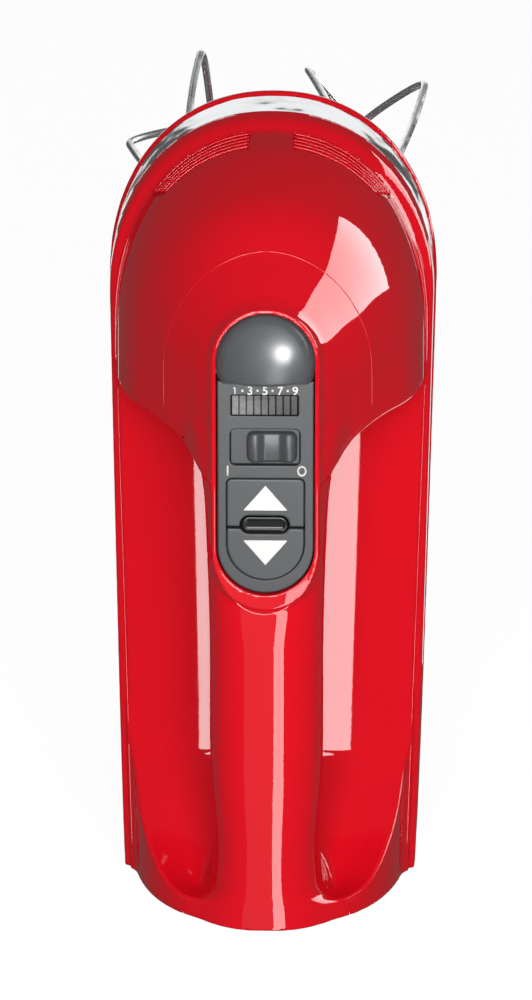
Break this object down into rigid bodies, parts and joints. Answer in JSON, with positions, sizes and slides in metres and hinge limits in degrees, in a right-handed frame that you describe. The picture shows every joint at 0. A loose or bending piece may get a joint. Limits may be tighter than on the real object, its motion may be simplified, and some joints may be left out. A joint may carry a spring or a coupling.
{
  "type": "hand mixer",
  "caption": "Corded electric hand mixer standing on its flat heel, with an arched handle, a control panel, an eject button and wire beaters driven by a worm and gears.",
  "frame": {"origin": "On the flat heel, in its plane Z=0, straight under the motor axis", "axes": "+Z from the heel up to the nose, -Y from the pod to the handle and controls, +Y along the beaters, X across"},
  "size_m": [0.0935, 0.263, 0.208],
  "materials": {
    "red_shell": "high gloss",
    "trim_chrome": "bright plated",
    "soft_grip": "fine matt",
    "panel_plastic": "satin",
    "grey_plastic": "satin",
    "black_plastic": "gloss",
    "board": "solder mask",
    "laminations": "pressed sheet",
    "windings": null,
    "brass": "machined",
    "steel": "ground",
    "nylon": "moulded",
    "cast_frame": "as cast",
    "beater_chrome": "polished wire"
  },
  "bodies": {
    "housing": {"top_cover": "red_shell", "mid_housing": "red_shell", "lower_housing": "red_shell", "trim_band": "trim_chrome", "grip_insert": "soft_grip", "panel_bezel": "panel_plastic", "display_window": "grey_plastic", "indicator_lens": "black_plastic", "control_board": "board", "power_switch": "black_plastic", "motor_frame": "laminations", "field_coil_near": "windings", "field_coil_far": "windings", "bearing_rear": "steel", "bearing_front": "steel", "rear_bridge": "nylon", "gear_case": "cast_frame", "eject_spring": "steel", "cord_gland": "black_plastic", "brush_left": "black_plastic", "brush_holder_left": "brass", "socket_collar_left": "black_plastic", "brush_right": "black_plastic", "brush_holder_right": "brass", "socket_collar_right": "black_plastic", "housing_screw_1": "steel", "housing_screw_2": "steel", "housing_screw_3": "steel", "housing_screw_4": "steel"},
    "rotor": {"armature": "windings", "commutator": "brass", "motor_shaft": "steel", "cooling_fan": "black_plastic"},
    "eject": {"eject_button": "panel_plastic", "eject_yoke": "nylon"},
    "power_knob": {"power_slider": "grey_plastic"},
    "speed_up": {"speed_up_key": "panel_plastic"},
    "speed_down": {"speed_down_key": "panel_plastic"},
    "gear_left": {"drive_gear_left": "nylon"},
    "pin_left": {"push_pin_left": "steel"},
    "beater_left": {"beater_shaft_left": "beater_chrome", "beater_loop_a_left": "beater_chrome", "beater_loop_b_left": "beater_chrome"},
    "gear_right": {"drive_gear_right": "nylon"},
    "pin_right": {"push_pin_right": "steel"},
    "beater_right": {"beater_shaft_right": "beater_chrome", "beater_loop_a_right": "beater_chrome", "beater_loop_b_right": "beater_chrome"}
  },
  "joints": [
    {"name": "motor_spin", "type": "hinge", "parent": "housing", "child": "rotor", "pos_m": [0, 0, 0.1], "axis": [0, 0, 1], "continuous": true},
    {"name": "gear_left_spin", "type": "hinge", "parent": "housing", "child": "gear_left", "pos_m": [-0.0227, 0, 0.163], "axis": [0, 1, 0], "continuous": true},
    {"name": "pin_left_push", "type": "slide", "parent": "gear_left", "child": "pin_left", "axis": [0, 1, 0], "range_m": [0, 0.007]},
    {"name": "beater_left_pull", "type": "slide", "parent": "pin_left", "child": "beater_left", "axis": [0, 1, 0], "range_m": [0, 0.045]},
    {"name": "gear_right_spin", "type": "hinge", "parent": "housing", "child": "gear_right", "pos_m": [0.0227, 0, 0.163], "axis": [0, 1, 0], "continuous": true},
    {"name": "pin_right_push", "type": "slide", "parent": "gear_right", "child": "pin_right", "axis": [0, 1, 0], "range_m": [0, 0.007]},
    {"name": "beater_right_pull", "type": "slide", "parent": "pin_right", "child": "beater_right", "axis": [0, 1, 0], "range_m": [0, 0.045]},
    {"name": "eject_press", "type": "slide", "parent": "housing", "child": "eject", "axis": [0, 1, 0], "range_m": [0, 0.007], "stiffness_N_per_m": 400, "springref_m": -0.01},
    {"name": "power_slide", "type": "slide", "parent": "housing", "child": "power_knob", "axis": [-1, 0, 0], "range_m": [0, 0.0036]},
    {"name": "speed_up_press", "type": "slide", "parent": "housing", "child": "speed_up", "axis": [0, 1, 0], "range_m": [0, 0.0008], "stiffness_N_per_m": 600, "springref_m": -0.001},
    {"name": "speed_down_press", "type": "slide", "parent": "housing", "child": "speed_down", "axis": [0, 1, 0], "range_m": [0, 0.0008], "stiffness_N_per_m": 600, "springref_m": -0.001}
  ],
  "couplings": [
    {"joint": "gear_left_spin", "follows": "motor_spin", "ratio": 0.083333},
    {"joint": "pin_left_push", "follows": "eject_press", "ratio": 1},
    {"joint": "gear_right_spin", "follows": "motor_spin", "ratio": -0.083333},
    {"joint": "pin_right_push", "follows": "eject_press", "ratio": 1}
  ]
}
